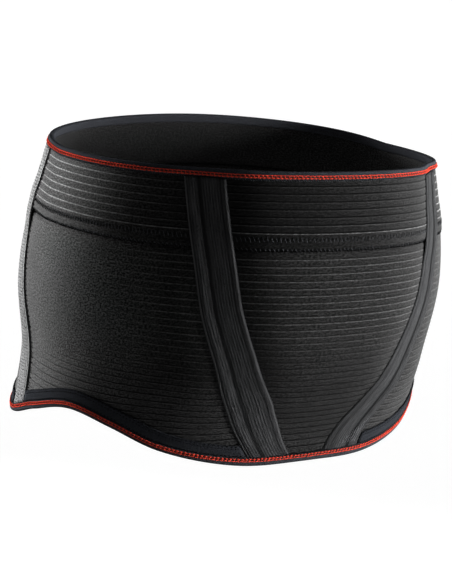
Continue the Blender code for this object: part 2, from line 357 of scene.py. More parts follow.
def panel_angles(border, count):
    """Columns of one panel, which stops short of its neighbours by half an edge gap."""
    margin = EDGE_GAP / 2 / HALF_WIDTH
    share = np.arange(count + 1) / count

    def angles_at(drop):
        start = edge_angle(border, drop) + margin
        end = edge_angle(border + 1, drop) - margin
        return start + (end - start) * share
    return angles_at


def ring_angles(count):
    """Columns all round the belt, from the middle of the back and round to it again."""
    turn = np.linspace(-np.pi, np.pi, count + 1)
    return lambda drop: turn + 0 * drop


def half_turn(centre_at, drop, width):
    """Half the angle that a strip takes up across, where its centre line has the angle given."""
    angle = centre_at(drop)
    step = SLOPE_STEP
    radius = np.linalg.norm(trunk(angle + step, drop) - trunk(angle - step, drop), axis=-1) / (2 * step)
    lean = (centre_at(drop + step) - centre_at(drop - step)) / (2 * step)
    return width / 2 / radius * np.sqrt(1 + (radius * lean) ** 2)


# Meshes from arrays

STRETCH = 1.12


def make_mesh(name, points, faces, material, cloth=None, marks=None):
    """A smooth mesh from points and arrays of faces, one array for each number of corners, with a
    cloth map given face corner by face corner and marks given point by point."""
    mesh = bpy.data.meshes.new(name)
    corners = np.concatenate([part.ravel() for part in faces])
    totals = np.concatenate([np.full(len(part), part.shape[1]) for part in faces])
    mesh.vertices.add(len(points))
    mesh.vertices.foreach_set("co", points.astype(np.float32).ravel())
    mesh.loops.add(len(corners))
    mesh.loops.foreach_set("vertex_index", corners.astype(np.int32))
    mesh.polygons.add(len(totals))
    mesh.polygons.foreach_set("loop_start", (np.cumsum(totals) - totals).astype(np.int32))
    mesh.update(calc_edges=True)
    mesh.shade_smooth()
    if cloth is not None:
        mesh.uv_layers.new(name="cloth").uv.foreach_set("vector", cloth.astype(np.float32).ravel())
    for mark, values in (marks or {}).items():
        attribute = mesh.attributes.new(mark, "FLOAT", "POINT")
        attribute.data.foreach_set("value", values.astype(np.float32).ravel())
    mesh.materials.append(material)
    piece = bpy.data.objects.new(name, mesh)
    bpy.context.scene.collection.objects.link(piece)
    return piece


def quads_between(rows, columns, ring_rows, ring_columns):
    """Corners of the quads of a grid, as rows and columns: down, across, up again."""
    i = np.arange(rows if ring_rows else rows - 1)[:, None]
    j = np.arange(columns if ring_columns else columns - 1)[None, :]
    row = np.stack([i + 0 * j, i + 1 + 0 * j, i + 1 + 0 * j, i + 0 * j], axis=-1).reshape(-1, 4)
    column = np.stack([j + 0 * i, j + 0 * i, j + 1 + 0 * i, j + 1 + 0 * i], axis=-1).reshape(-1, 4)
    return row, column


def flat_cut(outside, ring):
    """Width, length and area that a piece of knit or elastic was cut to: its longest row, longest
    column and the sum of its cells' sides multiplied, each before it was stretched on to the body."""
    if ring:
        outside = np.concatenate([outside, outside[:, :1]], axis=1)
    along = np.linalg.norm(np.diff(outside, axis=1), axis=-1)
    down = np.linalg.norm(np.diff(outside, axis=0), axis=-1)
    area = (along[:-1] * down[:, :-1]).sum()
    width = along.sum(axis=1).max()
    length = down.sum(axis=0).max()
    return width / STRETCH, length, min(area, width * length) / STRETCH


def wall(name, angle, drop, outer, inner, material, ring=False, marks=None, across=None):
    """A closed piece between an outer and an inner offset over a grid of angles and drops. The rows
    run down the outer face and back up the inner one, and an open piece is closed at both ends."""
    down = cloth_depth(angle, drop)
    across = girth(angle) if across is None else np.broadcast_to(across, angle.shape)
    if ring:
        angle = angle[:, :-1]
        drop = drop[:, :-1]
        outer = outer[:, :-1]
    rows, columns = angle.shape
    outside = layer(angle, drop, outer)
    inside = layer(angle, drop, np.broadcast_to(inner, down.shape)[:, :columns])
    points = np.concatenate([outside, inside[::-1]])
    row, column = quads_between(2 * rows, columns, True, ring)
    faces = row % (2 * rows) * columns + column % columns
    map_row = np.where(row % (2 * rows) < rows, row % (2 * rows), 2 * rows - 1 - row % (2 * rows))
    cloth = np.stack([across[map_row, column], down[map_row, column]], axis=-1)
    if not ring:
        i = np.arange(rows - 1)
        near = np.stack([i, 2 * rows - 1 - i, 2 * rows - 2 - i, i + 1], axis=-1)
        for side, end in ((near, 0), (near[:, ::-1], columns - 1)):
            faces = np.concatenate([faces, side * columns + end])
            map_side = np.where(side < rows, side, 2 * rows - 1 - side)
            cloth = np.concatenate([cloth, np.stack([across[map_side, end], down[map_side, end]], -1)])
    kept = {}
    for mark, values in (marks or {}).items():
        outer_marks = np.broadcast_to(values, down.shape)[:, :columns]
        inner_marks = outer_marks[::-1] if mark == "painted_light_and_low_flecks" else np.zeros_like(outer_marks)
        kept[mark] = np.concatenate([outer_marks, inner_marks])
    piece = make_mesh(name, points.reshape(-1, 3), [faces], material, cloth, kept)
    flat_cut(outside, ring)
    return piece


def carried(name, paths, normals, wide, tall, sides, material, ring=False):
    """Round or flat threads: an ellipse of given half width and half height is carried along each
    path of points, standing on the surface's normal. Open threads are closed by a flat end."""
    if ring:
        tangent = np.roll(paths, -1, axis=1) - np.roll(paths, 1, axis=1)
    else:
        tangent = np.gradient(paths, axis=1)
    across = np.cross(normals, tangent)
    across /= np.linalg.norm(across, axis=-1, keepdims=True)
    upright = np.cross(tangent, across)
    upright /= np.linalg.norm(upright, axis=-1, keepdims=True)
    turn = 2 * np.pi * np.arange(sides) / sides
    wide = np.broadcast_to(wide, paths.shape[:2])[..., None, None]
    tall = np.broadcast_to(tall, paths.shape[:2])[..., None, None]
    sideways = across[:, :, None] * np.cos(turn)[:, None] * wide
    upwards = upright[:, :, None] * np.sin(turn)[:, None] * tall
    points = paths[:, :, None] + (sideways + upwards)
    count, steps = paths.shape[:2]
    i = np.arange(steps if ring else steps - 1)[:, None]
    j = np.arange(sides)[None, :]
    beside = (j + 1) % sides
    after = (i + 1) % steps
    quads = np.stack([i * sides + j, i * sides + beside, after * sides + beside, after * sides + j], -1)
    first = np.arange(count)[:, None, None] * steps * sides
    faces = [(quads.reshape(1, -1, 4) + first).reshape(-1, 4)]
    if not ring:
        ends = np.stack([np.arange(sides)[::-1], (steps - 1) * sides + np.arange(sides)])
        faces.append((ends[None] + first).reshape(-1, sides))
    return make_mesh(name, points.reshape(-1, 3), faces, material)


# Shader nodes

class Wire:
    """A node's output that takes part in sums: each operator adds the Math node that works it out."""

    def __init__(self, finish, socket):
        self.finish = finish
        self.socket = socket

    def math(self, operation, *others):
        inputs = {index: value for index, value in enumerate(others)}
        return self.finish.node("Math", dict(operation=operation), inputs)

    def __add__(self, other):
        return self.math("ADD", self, other)

    def __sub__(self, other):
        return self.math("SUBTRACT", self, other)

    def __rsub__(self, other):
        return self.math("SUBTRACT", other, self)

    def __mul__(self, other):
        return self.math("MULTIPLY", self, other)

    __radd__ = __add__
    __rmul__ = __mul__

    def sine(self):
        return self.math("SINE", self)

    def clipped(self):
        return self.finish.node("Clamp", {}, {"Value": self})

    def between(self, low, high):
        """0 below low, 1 above high and a smooth rise from one to the other."""
        settings = dict(interpolation_type="SMOOTHSTEP")
        return self.finish.node("MapRange", settings, {"Value": self, "From Min": low, "From Max": high})


class Finish:
    """A material whose nodes are added one call at a time."""

    def __init__(self, name):
        self.material = bpy.data.materials.new(name)
        self.material.use_nodes = True
        self.tree = self.material.node_tree
        self.shader = self.tree.nodes["Principled BSDF"]

    def node(self, kind, settings, inputs, output=0):
        """Adds a node: its settings come first, then its sockets' values and links."""
        node = self.tree.nodes.new("ShaderNode" + kind)
        for name, value in settings.items():
            setattr(node, name, value)
        for key, value in inputs.items():
            self.feed(node.inputs[key], value)
        return Wire(self, node.outputs[output])

    def feed(self, socket, value):
        if isinstance(value, Wire):
            self.tree.links.new(value.socket, socket)
        else:
            socket.default_value = value

    def set(self, **values):
        """Feeds the shader's sockets: Base_Color stands for Base Color."""
        for name, value in values.items():
            self.feed(self.shader.inputs[name.replace("_", " ")], value)

    def mark(self, name):
        return self.node("Attribute", dict(attribute_name=name), {}, "Fac")

    def cloth(self):
        """The cloth map as two wires: metres round the belt and metres down it."""
        place = self.node("UVMap", dict(uv_map="cloth"), {})
        across, down = [self.node("SeparateXYZ", {}, {0: place}, axis) for axis in (0, 1)]
        return place, across, down

    def noise(self, place, scale, detail=2.0, roughness=0.5):
        inputs = {"Vector": place, "Scale": scale, "Detail": detail, "Roughness": roughness}
        return self.node("TexNoise", {}, inputs, 0)

    def stretched(self, place, x, y, z=1.0):
        return self.node("VectorMath", dict(operation="MULTIPLY"), {0: place, 1: (x, y, z)})

    def mixed(self, share, start, end):
        """A colour between two, by a share."""
        inputs = {0: share, 6: start, 7: end}
        return self.node("Mix", dict(data_type="RGBA"), inputs, 2)

    def bump(self, height, distance, strength=1.0):
        return self.node("Bump", {}, {"Height": height, "Distance": distance, "Strength": strength})


def grey(value):
    return (value, value, value, 1.0)


def shade(colour, share):
    """A colour made darker or lighter, with the alpha that sockets take."""
    return tuple(share * c for c in colour) + (1.0,)


# Materials

def knit_finish(name, base, fleck, thread_glint_grey):
    """Speckled black knit: fine flecks over softer patches, with light painted on the flecks by a
    mark, painted shade in the grooves that comes and goes, and a painted highlight on the rib
    threads that shows in dashes."""
    finish = Finish(name)
    place, _, _ = finish.cloth()
    flecks = finish.noise(finish.stretched(place, 0.7, 1.0), 720.0, 3.0, 0.65).between(0.40, 0.62)
    patches = finish.noise(place, 60.0, 3.0, 0.6).between(0.3, 0.75)
    # Painted light: the flecks are scaled by a mark that is highest on the lit flanks, and that also shows
    # more flecks low down on the panels
    speckle = flecks * (0.75 + 0.25 * patches) * finish.mark("painted_light_and_low_flecks")
    colour = finish.mixed(speckle, grey(base), grey(fleck))
    # Painted highlight: the rib threads are made paler in dashes, as glints of light
    dashes = finish.noise(finish.stretched(place, 300.0, 160.0), 1.0, 2.0, 0.6).between(0.40, 0.62)
    thread = finish.mark("thread") * (0.4 + 0.6 * dashes)
    colour = finish.mixed(thread, colour, grey(thread_glint_grey))
    # Painted shade: the grooves are darkened almost to black, a little less in places
    groove_shade_breaks = finish.noise(finish.stretched(place, 120.0, 160.0), 1.0, 2.0, 0.6).between(0.36, 0.6)
    colour = finish.mixed(finish.mark("groove") * (0.8 + 0.2 * groove_shade_breaks), colour, grey(0.0004))
    loops = finish.noise(finish.stretched(place, 420.0, 1100.0), 1.0, 2.0, 0.6)
    height = 0.6 * flecks + 0.4 * loops
    finish.set(Base_Color=colour, Roughness=0.92, Normal=finish.bump(height, 0.00009))
    finish.set(Specular_IOR_Level=0.004)
    return finish.material


def strip_finish(name, colour, twist, fleck_size, rib_pitch, gloss):
    """Woven elastic: fine ribs and streaks along the strip, slanting turns across it where twist is
    more than nothing, painted shade in the channels and a painted highlight on the selvedges."""
    finish = Finish(name)
    place, across, down = finish.cloth()
    streaks = finish.noise(finish.stretched(place, 1 / fleck_size, 50.0), 1.0, 3.0, 0.65).between(0.38, 0.66)
    flecks = finish.noise(finish.stretched(place, 900.0, 500.0), 1.0, 2.0, 0.6).between(0.3, 0.7)
    turns = 0.5 + 0.5 * ((down + across * 0.7) * (2 * np.pi / TURN_PITCH)).sine()
    ribs = 0.5 + 0.5 * (across * (2 * np.pi / rib_pitch)).sine()
    share = (0.4 * streaks + 0.25 * flecks + 0.35 * ribs) * (1 - twist * turns)
    mixed = finish.mixed(share, shade(colour, 0.18), shade(colour, 1.5))
    # Painted shade where the channel mark lies, and painted highlight where the selvedge mark lies
    mixed = finish.mixed((finish.mark("groove") * 0.85).clipped(), mixed, shade(colour, 0.15))
    mixed = finish.mixed((finish.mark("thread") * 0.7).clipped(), mixed, shade(colour, 2.2))
    height = 0.5 * streaks + 0.3 * flecks + 0.4 * ribs - (0.8 * twist) * turns
    finish.set(Base_Color=mixed, Roughness=0.85, Normal=finish.bump(height, 0.00035))
    finish.set(Specular_IOR_Level=gloss)
    return finish.material


def plain_finish(name, colour, roughness, gloss):
    """Close weave or thread: one colour, darker between fine flecks."""
    finish = Finish(name)
    place = finish.node("TexCoord", {}, {}, "Object")
    flecks = finish.noise(place, 1400.0, 2.0).between(0.3, 0.7)
    mixed = finish.mixed(flecks, shade(colour, 0.35), shade(colour, 1.15))
    finish.set(Base_Color=mixed, Roughness=roughness, Specular_IOR_Level=gloss)
    finish.set(Normal=finish.bump(flecks, 0.0002))
    return finish.material


ROPE_PITCH = 0.0033
TURN_PITCH = 0.0030
STRAP_RIB_PITCH = 0.0024

ribbed_knit = knit_finish("ribbed knit", 0.0006, 0.0150, 0.075)
plain_knit = knit_finish("plain knit", 0.0006, 0.0198, 0.040)
strap_elastic = strip_finish("strap elastic", (0.0068, 0.0069, 0.0071), 0.0, 0.0013, STRAP_RIB_PITCH, 0.0)
ribbed_elastic = strip_finish("ribbed elastic", (0.020, 0.0203, 0.0206), 0.8, 0.0016, ROPE_PITCH, 0.018)
smooth_tape = plain_finish("hem tape", (0.0042, 0.0045, 0.0052), 0.8, 0.0)
folded_binding = plain_finish("binding", (0.0066, 0.0070, 0.0080), 0.85, 0.0)
red_thread = plain_finish("red thread", (0.120, 0.0110, 0.0062), 0.7, 0.0)
grey_thread = plain_finish("grey thread", (0.0130, 0.0136, 0.0148), 0.7, 0.0)
pale_thread = plain_finish("pale thread", (0.026, 0.0265, 0.028), 0.7, 0.0)
black_thread = plain_finish("black thread", (0.0006, 0.0006, 0.0006), 0.9, 0.0)


# Knitted walls

def rib_rows(runs, start, end, extra=()):
    """Depths, heights and marks of rows down the cloth: each rib's points, with a low pillow between
    one rib and the next."""
    rows = [(depth, 0.0, 0.0, 0.0) for depth in (start, *extra)]
    for run in runs:
        for rib in range(run.count):
            depth = run.first + rib * run.pitch
            rows += [(depth + p.down, p.height, p.groove, p.thread) for p in RIB]
    rows = [row for row in rows if start <= row[0] < end - 0.0005]
    rows.append((end, 0.0, 0.0, 0.0))
    rows = np.array(rows)
    gaps = np.flatnonzero(np.diff(rows[:, 0]) > 0.002)
    fill = [rows[g] + (rows[g + 1] - rows[g]) * s for g in gaps for s in (1 / 3, 2 / 3)]
    pillows = np.array([[depth, PILLOW_HEIGHT, 0.0, 0.0] for depth, *_ in fill])
    rows = np.concatenate([rows, pillows])
    return rows[np.argsort(rows[:, 0])].T


# Painted light on the knit: how much its pale flecks show, at angles in degrees round the belt, for the
# upper band, the belly and the flanks, most where the lamps fall on the flanks
PaintedFleckLight = namedtuple("PaintedFleckLight", "angle band belly flank")
PAINTED_FLECK_LIGHT = (
    PaintedFleckLight(-180, 0.37, 0.0, 0.28),
    PaintedFleckLight(-112, 0.50, 0.0, 0.42),
    PaintedFleckLight(-91, 1.0, 0.0, 0.83),
    PaintedFleckLight(-77, 0.85, 0.0, 0.70),
    PaintedFleckLight(-66, 0.65, 0.0, 0.66),
    PaintedFleckLight(-59, 0.50, 0.0, 0.70),
    PaintedFleckLight(-46, 0.22, 0.0, 0.20),
    PaintedFleckLight(-30, 0.13, 0.19, 0.22),
    PaintedFleckLight(-12, 0.16, 0.37, 0.0),
    PaintedFleckLight(15, 0.37, 0.41, 0.0),
    PaintedFleckLight(40, 0.30, 0.30, 0.40),
    PaintedFleckLight(60, 0.67, 0.0, 0.60),
    PaintedFleckLight(91, 0.85, 0.0, 0.70),
    PaintedFleckLight(112, 0.50, 0.0, 0.42),
    PaintedFleckLight(180, 0.37, 0.0, 0.28),
)
# How much the flecks show low down on the side and front panels
LOW_FLECKS = 0.40

# Painted highlight on the rib threads and painted shade in the grooves, at angles in degrees round the upper
# band: bright threads on the lit flanks and dark grooves in front
Look = namedtuple("Look", "angle thread groove")
BAND_LOOK = (
    Look(-180, 0.25, 0.4),
    Look(-112, 0.4, 0.3),
    Look(-88, 1.0, 0.05),
    Look(-66, 0.38, 0.1),
    Look(-52, 0.17, 0.4),
    Look(-38, 0.07, 1.0),
    Look(25, 0.06, 1.0),
    Look(40, 0.18, 1.0),
    Look(48, 0.8, 0.4),
    Look(90, 0.8, 0.3),
    Look(112, 0.4, 0.3),
    Look(180, 0.25, 0.4),
)

# Painted highlight on the last threads of the upper band in front, where the others hardly show
LAST_THREAD_GLINT = ((0.041, 0.0), (0.0447, 0.09), (0.0512, 0.34))


def at_angle(rows, column, angle):
    """One column of a table of looks, between the table's angles round the belt."""
    degrees = np.degrees(from_front(angle))
    values = [getattr(row, column) for row in rows]
    return np.interp(degrees, [row.angle for row in rows], values)


def make_upper_band():
    depth, height, groove, thread = rib_rows(BAND_RIBS, WALL_EDGE, BAND_DEPTH, BAND_EDGE_ROWS)
    count = int(GIRTHS[-1] / COLUMN_STEP / 1.5)

    def drops_at(angle):
        return drop_at(angle, depth[:, None])
    angle, drop = settle(ring_angles(count), drops_at, len(depth))
    inner = band_lift(drop)
    last = np.interp(depth, *zip(*LAST_THREAD_GLINT))[:, None]
    pale = np.maximum(last, at_angle(BAND_LOOK, "thread", angle))
    dark = at_angle(BAND_LOOK, "groove", angle)
    # Painted shade in the grooves and painted highlight on the threads; the groove shade also scales the
    # ribs' relief
    marks = {"groove": groove[:, None] * dark, "thread": thread[:, None] * pale}
    # Painted light on the flecks, by the angle round the band
    marks["painted_light_and_low_flecks"] = at_angle(PAINTED_FLECK_LIGHT, "band", angle)
    outer = inner + band_thickness(drop) + height[:, None] * dark
    return wall("knit_upper_band", angle, drop, outer, inner, ribbed_knit, True, marks)


PANELS = (
    ("side_panel_right", 62, TAPE_TOP_RISE),
    ("front_panel", 70, BINDING_WIDTH),
    ("side_panel_left", 62, TAPE_TOP_RISE),
    ("back_panel", 96, TAPE_TOP_RISE),
)


def rib_strength(name, count, depth):
    """Ribs are whole over the belly. On the side panels they fade with the distance from the strap,
    later on below RIBS_REACH_FARTHER. The back is plain."""
    share = np.arange(count + 1)[None, :] / count
    if name == "front_panel":
        return 1.0 + 0 * share * depth
    if name == "back_panel":
        return 0 * share * depth
    from_strap = 1 - share if name.endswith("right") else share
    reach = np.interp(depth, RIBS_REACH_FARTHER, (0.42, 1.0))
    return np.clip((reach - from_strap) / 0.22, 0.0, 1.0) ** 0.7


# Painted highlight on the threads and painted shade in the grooves, high up and low down on each kind of
# panel
PanelLook = namedtuple("PanelLook", "thread_high thread_low groove_high groove_low")
BELLY_LOOK = PanelLook(0.19, 0.03, 0.45, 1.0)
FLANK_LOOK = PanelLook(0.30, 0.18, 0.2, 0.9)


def make_panels():
    panels = []
    for border, (name, count, cover) in enumerate(PANELS):
        deepest = PANEL_RIBS[-1].first + PANEL_RIBS[-1].pitch * PANEL_RIBS[-1].count
        edges = (BAND_DEPTH, BELOW_BAND, BELOW_BAND + 2 * EDGE_GAP)
        depth, height, groove, thread = rib_rows(PANEL_RIBS, PANEL_TOP + EDGE_GAP, deepest, edges)

        def drops_at(angle):
            """Rows keep their depth down to what covers the hem, and crowd together under it."""
            rows = depth[:-1, None]
            last = cloth_depth(angle[-1:], hem_drop(angle[-1:]) - WALL_EDGE)
            limit = cloth_depth(angle[:-1], hem_drop(angle[:-1]) - WALL_EDGE)
            room = cover - WALL_EDGE
            beyond = np.maximum(rows - (limit - room), 0.0)
            crowded = np.minimum(rows, limit - room) + room * (1 - np.exp(-beyond / room))
            return drop_at(angle, np.concatenate([crowded, last]))
        angle, drop = settle(panel_angles(border, count), drops_at, len(depth))
        covered = cloth_depth(angle, drop) < depth[:, None] - 0.0001
        strength = np.where(covered, 0.0, 1.0) * rib_strength(name, count, depth[:, None])
        look = BELLY_LOOK if name == "front_panel" else FLANK_LOOK
        # Painted highlight on the threads, fading with depth, and painted shade in the grooves, stronger low
        # down; the groove shade also scales the ribs' relief
        pale = np.interp(depth, THREAD_GLINT_FADE, (look.thread_high, look.thread_low))[:, None]
        dark = np.interp(depth, RIBS_REACH_FARTHER, (look.groove_high, look.groove_low))[:, None]
        marks = {"groove": groove[:, None] * strength * dark, "thread": thread[:, None] * strength * pale}
        # Painted light on the flecks by the angle round the belt, and more flecks low down on all panels but
        # the back
        low_down = np.interp(depth, RIBS_REACH_FARTHER, (0.0, LOW_FLECKS))[:, None]
        kind = "belly" if name == "front_panel" else "flank"
        marks["painted_light_and_low_flecks"] = np.maximum(at_angle(PAINTED_FLECK_LIGHT, kind, angle), low_down * (name != "back_panel"))
        wall_here = np.interp(drop, (BAND_DEPTH, BELOW_BAND), (PRESSED_WALL, WALL))
        outer = wall_here + height[:, None] * strength * dark
        material = ribbed_knit if name == "front_panel" else plain_knit
        panels.append(wall("knit_" + name, angle, drop, outer, 0.0, material, False, marks))
    return panels


# Strips: straps, side bands, tapes and bindings

def make_strip(name, centre_at, width, thickness, side, columns, relief, material):
    """A strip down the belt: a grid across its width, thicker or thinner by a relief over it. Its
    edges are thinner and lie closer to the knit, by the eighth power of the share across."""
    across = np.linspace(-1, 1, columns + 1)
    share = np.linspace(0, 1, STRIP_ROWS)[:, None]

    def angles_at(drop):
        return side * centre_at(drop) + across * half_turn(centre_at, drop, width)

    def drops_at(angle):
        return STRAP_TOP + share * (hem_drop(angle) - STRAP_END_RISE - STRAP_TOP)
    angle, drop = settle(angles_at, drops_at, len(share))
    edge = across**8
    inner = over_knit(drop) - (STRIP_GAP - EDGE_STAND) * edge
    place = across * side * width / 2
    height, channel, selvedge = relief(place)
    outer = inner + thickness * (1 - EDGE_THIN * edge) + height
    # Painted shade in the channels and painted highlight on the selvedges
    marks = {"groove": channel, "thread": selvedge}
    return wall(name, angle, drop, outer, inner, material, marks=marks, across=place)


BEAD_INSET = 0.0008
BEAD_WIDTH = 0.00045


def bell(across, middle, width):
    return np.exp(-(((across - middle) / width) ** 2))


def strap_relief(across):
    """Heights, channels and selvedges of a front strap: two soft channels between low ridges, a thin
    line along each edge, and a bead along each edge. The channels and edge lines carry painted
    shade and the beads a painted highlight."""
    channel = bell(across, 0.0055, 0.0022) + 0.6 * bell(across, -0.0125, 0.0020)
    # Thin lines of painted shadow inside the outer bead and along the inner edge
    channel = channel + 0.8 * bell(across, STRAP_WIDTH / 2 - 0.0022, 0.0005)
    channel = channel + 0.8 * bell(across, 0.0005 - STRAP_WIDTH / 2, 0.0005)
    selvedge = bell(across, STRAP_WIDTH / 2 - BEAD_INSET, BEAD_WIDTH)
    selvedge = selvedge + 0.6 * bell(across, BEAD_INSET - STRAP_WIDTH / 2, BEAD_WIDTH)
    ridge = bell(across, -0.0035, 0.004) + bell(across, 0.0125, 0.003)
    return 0.0003 * selvedge - 0.0005 * channel + 0.0002 * ridge, channel, selvedge


def band_relief(across):
    """Heights and marks of a side band: raised ropes along it, with painted shade between them."""
    rope = 0.5 + 0.5 * np.cos(2 * np.pi * across / ROPE_PITCH)
    return 0.0004 * rope - 0.0002, 0.8 * (1 - rope) ** 2, 0 * rope


def behind_strap(drop):
    return strap_angle(drop) + half_turn(strap_angle, drop, STRAP_SPAN)


def before_band(drop):
    return side_band_angle(drop) - half_turn(side_band_angle, drop, BAND_SPAN)


def behind_band(drop):
    return side_band_angle(drop) + half_turn(side_band_angle, drop, BAND_SPAN)


def make_tapes():
    """The tape above the hem: a piece on each flank and one across the back."""
    tapes = (
        ("hem_tape_right", 70, lambda drop: -before_band(drop), lambda drop: -behind_strap(drop)),
        ("hem_tape_left", 70, behind_strap, before_band),
        ("hem_tape_back", 90, behind_band, lambda drop: 2 * np.pi - behind_band(drop)),
    )
    made = []
    for name, count, start_at, end_at in tapes:
        columns = np.arange(count + 1) / count
        rise = np.linspace(TAPE_TOP_RISE, STRAP_END_RISE, TAPE_LEVELS)[:, None]

        def angles_at(drop):
            return start_at(drop) + (end_at(drop) - start_at(drop)) * columns
        angle, drop = settle(angles_at, lambda angle: hem_drop(angle) - rise, len(rise))
        inner = over_knit(drop)
        made.append(wall("smooth_" + name, angle, drop, inner + TAPE_THICKNESS, inner, smooth_tape))
    return made


def make_binding(name, drops_at, material):
    """A strip folded over an edge: its profile runs up the outer leg, over a round fold and down the
    inner leg, and back inside it."""
    outside = WALL + LAYER_GAP
    middle = WALL / 2
    turn = np.linspace(0, np.pi, 9)
    reach = (WALL + 2 * LAYER_GAP) / 2
    fold = reach + BINDING_THICKNESS
    outer_round = np.stack([BINDING_THICKNESS * (1 - np.sin(turn)), middle + fold * np.cos(turn)], -1)
    lining = BINDING_THICKNESS * (1.6 - 0.6 * np.sin(turn))
    inner_round = np.stack([lining, middle + reach * np.cos(turn)], -1)[::-1]
    legs = np.linspace(BINDING_WIDTH, BINDING_THICKNESS * 1.5, 5)
    bulge = 0.00025 * np.sin(np.pi * np.linspace(0, 1, 5))
    outer_leg = np.stack([legs, outside + BINDING_THICKNESS + bulge], -1)
    inner_leg = np.stack([legs[::-1], np.full(5, -LAYER_GAP - BINDING_THICKNESS)], -1)
    back_leg = np.stack([legs, np.full(5, -LAYER_GAP)], -1)
    last_leg = np.stack([legs[::-1], np.full(5, outside)], -1)
    profile = np.concatenate([outer_leg, outer_round, inner_leg, back_leg, inner_round, last_leg])
    turns = np.linspace(-np.pi, np.pi, BINDING_COLUMNS, endpoint=False)[None, :] + 0 * profile[:, :1]
    drop = drops_at(turns, profile[:, :1])
    points = layer(turns, drop, profile[:, 1:])
    rows = len(profile)
    row, column = quads_between(rows, BINDING_COLUMNS, True, True)
    faces = row % rows * BINDING_COLUMNS + column % BINDING_COLUMNS
    piece = make_mesh(name, points.reshape(-1, 3), [faces], material)
    seen = len(outer_leg) + len(outer_round) + len(inner_leg)
    flat_cut(points[:seen], True)
    return piece


def from_top(angle, inwards):
    return inwards + 0 * angle


def from_hem(angle, inwards):
    return hem_drop(angle) - inwards


def down_cloth(angle, depth):
    return drop_at(angle, depth + 0 * angle)


# Stitches

def round_edge(drops_at, pitch, inwards):
    """Turns a number of pitches along an edge, or along a line inside it, into an angle, and gives
    how many whole stitches fit round it."""
    turns = np.linspace(-np.pi, np.pi, 2001)
    edge = trunk(turns, drops_at(turns, inwards))
    length = running_sum(np.diff(edge, axis=0), 0)
    count = int(round(length[-1] / pitch))

    def angle_at(place):
        laps = np.floor(place / count)
        return np.interp(place - laps * count, length / length[-1] * count, turns) + laps * 2 * np.pi
    return angle_at, count


Stitch = namedtuple("Stitch", "along inwards lift")


def stitch_paths(drops_at, pitch, steps, outer_at, only=None):
    """Paths of stitches round an edge: each step is a share of the pitch along it, a distance inwards
    and a height over the outer face. Stitches whose start fails the test are left out."""
    along, inwards, lift = np.array(steps).T
    angle_at, count = round_edge(drops_at, pitch, inwards.mean())
    angle = angle_at(np.arange(count)[:, None] + along)
    if only is not None:
        starts = angle[:, 0]
        angle = angle[only(starts, drops_at(starts, inwards.mean()))]
    drop = drops_at(angle, inwards)
    return layer(angle, drop, outer_at(drop) + lift), outwards(angle, drop)


LADDER_PITCH = 0.0036
LADDER_RAIL = (
    Stitch(0.0, 0.0038, 0.00030),
    Stitch(0.25, 0.0037, 0.00045),
    Stitch(0.5, 0.0038, 0.00050),
    Stitch(0.75, 0.0039, 0.00045),
    Stitch(1.0, 0.0038, 0.00030),
)
LADDER_LOOP = (
    Stitch(0.04, 0.0057, -0.0001),
    Stitch(0.18, 0.0059, 0.00045),
    Stitch(0.45, 0.0060, 0.00065),
    Stitch(0.70, 0.0059, 0.00045),
    Stitch(0.84, 0.0057, -0.0001),
)
LADDER_RUNG = (
    Stitch(0.94, 0.0060, 0.0001),
    Stitch(0.90, 0.0052, 0.00035),
    Stitch(0.86, 0.0046, 0.00035),
    Stitch(0.80, 0.0039, 0.0001),
)


def on_binding(drop):
    return WALL + LAYER_GAP + BINDING_THICKNESS + 0 * drop


def on_band(drop):
    return band_lift(drop) + band_thickness(drop)


def on_knit(drop):
    return WALL + 0 * drop


def on_tape(drop):
    return over_knit(drop) + TAPE_THICKNESS


def make_ladder(name, drops_at):
    """The red ladder stitch: a smooth rail near the edge, a row of fat loops and rungs between."""
    made = []
    rows = (("rail", LADDER_RAIL, 0.00046, 0.00040), ("loops", LADDER_LOOP, 0.00060, 0.00050),
            ("rungs", LADDER_RUNG, 0.00042, 0.0004))
    for part, steps, wide, tall in rows:
        paths, normals = stitch_paths(drops_at, LADDER_PITCH, steps, on_binding)
        made.append(carried(f"{name}_{part}", paths, normals, wide, tall, 6, red_thread))
    return made


ZIGZAG_STROKES = (
    (Stitch(0.0, -0.5, 0.0), Stitch(0.25, 0.0, 0.0), Stitch(0.5, 0.5, 0.0)),
    (Stitch(0.5, 0.5, 0.0), Stitch(0.75, 0.0, 0.0), Stitch(1.0, -0.5, 0.0)),
)
EDGE_DOT_INSET = 0.0005
ZigzagRow = namedtuple("ZigzagRow", "name depth tall pitch")
ZIGZAG_ROWS = (
    ZigzagRow("zigzag_upper", 0.0570, 0.0040, 0.0036),
    ZigzagRow("zigzag_lower", 0.0654, 0.0023, 0.0037),
)


def make_zigzags():
    """The two rows that hold the band's lower edge: strokes down the cloth, then strokes back up. The thread
    is one colour; the down strokes are painted lit in grey and the up strokes painted in shade in black.
    """
    made = []
    for row in ZIGZAG_ROWS:
        for stroke, way in zip(ZIGZAG_STROKES, ("down", "up")):
            steps = [Stitch(s.along, row.depth + s.inwards * row.tall, 0.0001) for s in stroke]
            paths, normals = stitch_paths(down_cloth, row.pitch, steps, on_band)
            # Lit and shaded copies of one thread: painted light on the down strokes, painted shade on the up
            # strokes
            thread = grey_thread if way == "down" else black_thread
            made.append(carried(f"{row.name}_{way}", paths, normals, 0.00024, 0.00020, 5, thread))
    # Black dots along the band's lower edge: the stitch holes there, and painted shadow under the edge
    steps = [Stitch(along, BAND_DEPTH - EDGE_DOT_INSET, 0.0001) for along in (0.0, 0.25, 0.5)]
    paths, normals = stitch_paths(down_cloth, ZIGZAG_ROWS[-1].pitch, steps, on_band)
    made.append(carried("band_edge_dots_and_shadow", paths, normals, 0.0007, 0.0004, 5, black_thread))
    return made


